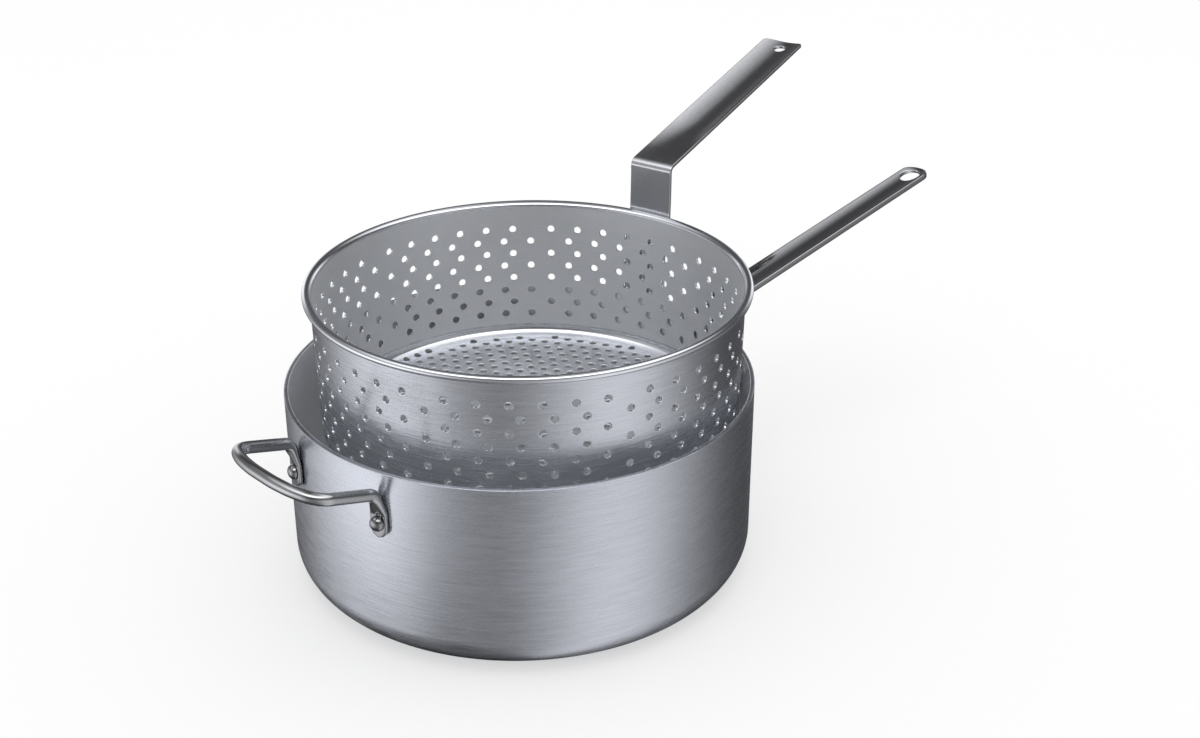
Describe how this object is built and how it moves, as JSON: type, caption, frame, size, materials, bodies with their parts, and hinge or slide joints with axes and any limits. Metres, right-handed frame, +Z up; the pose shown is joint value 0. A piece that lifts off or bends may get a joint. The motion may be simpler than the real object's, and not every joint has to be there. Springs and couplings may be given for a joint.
{
  "type": "deep fry pot",
  "caption": "Straight-sided aluminium fry pot with a long handle and a helper handle, and a loose perforated basket with a strap handle hung on its rim to drain.",
  "frame": {"origin": "middle of the pot's flat underside, on the table or burner", "axes": "+Z up; +X along the pot's long handle; the helper handle is at -X"},
  "size_m": [0.6458, 0.312, 0.2785],
  "materials": {
    "pot_aluminium": "circumferentially brushed",
    "basket_aluminium": "satin, brushed outside",
    "polished_steel": "polished"
  },
  "bodies": {
    "pot": {"pot_body": "pot_aluminium", "pot_handle": "polished_steel", "helper_handle": "polished_steel", "pot_handle_rivet_1": "polished_steel", "pot_handle_rivet_2": "polished_steel", "pot_handle_rivet_3": "polished_steel", "helper_rivet_left": "polished_steel", "helper_rivet_right": "polished_steel"},
    "basket": {"basket_shell": "basket_aluminium", "basket_handle": "polished_steel"}
  },
  "joints": [
    {"name": "basket_lift", "type": "slide", "parent": "pot", "child": "basket", "axis": [0, 0, 1], "range_m": [0, 0.15]}
  ]
}
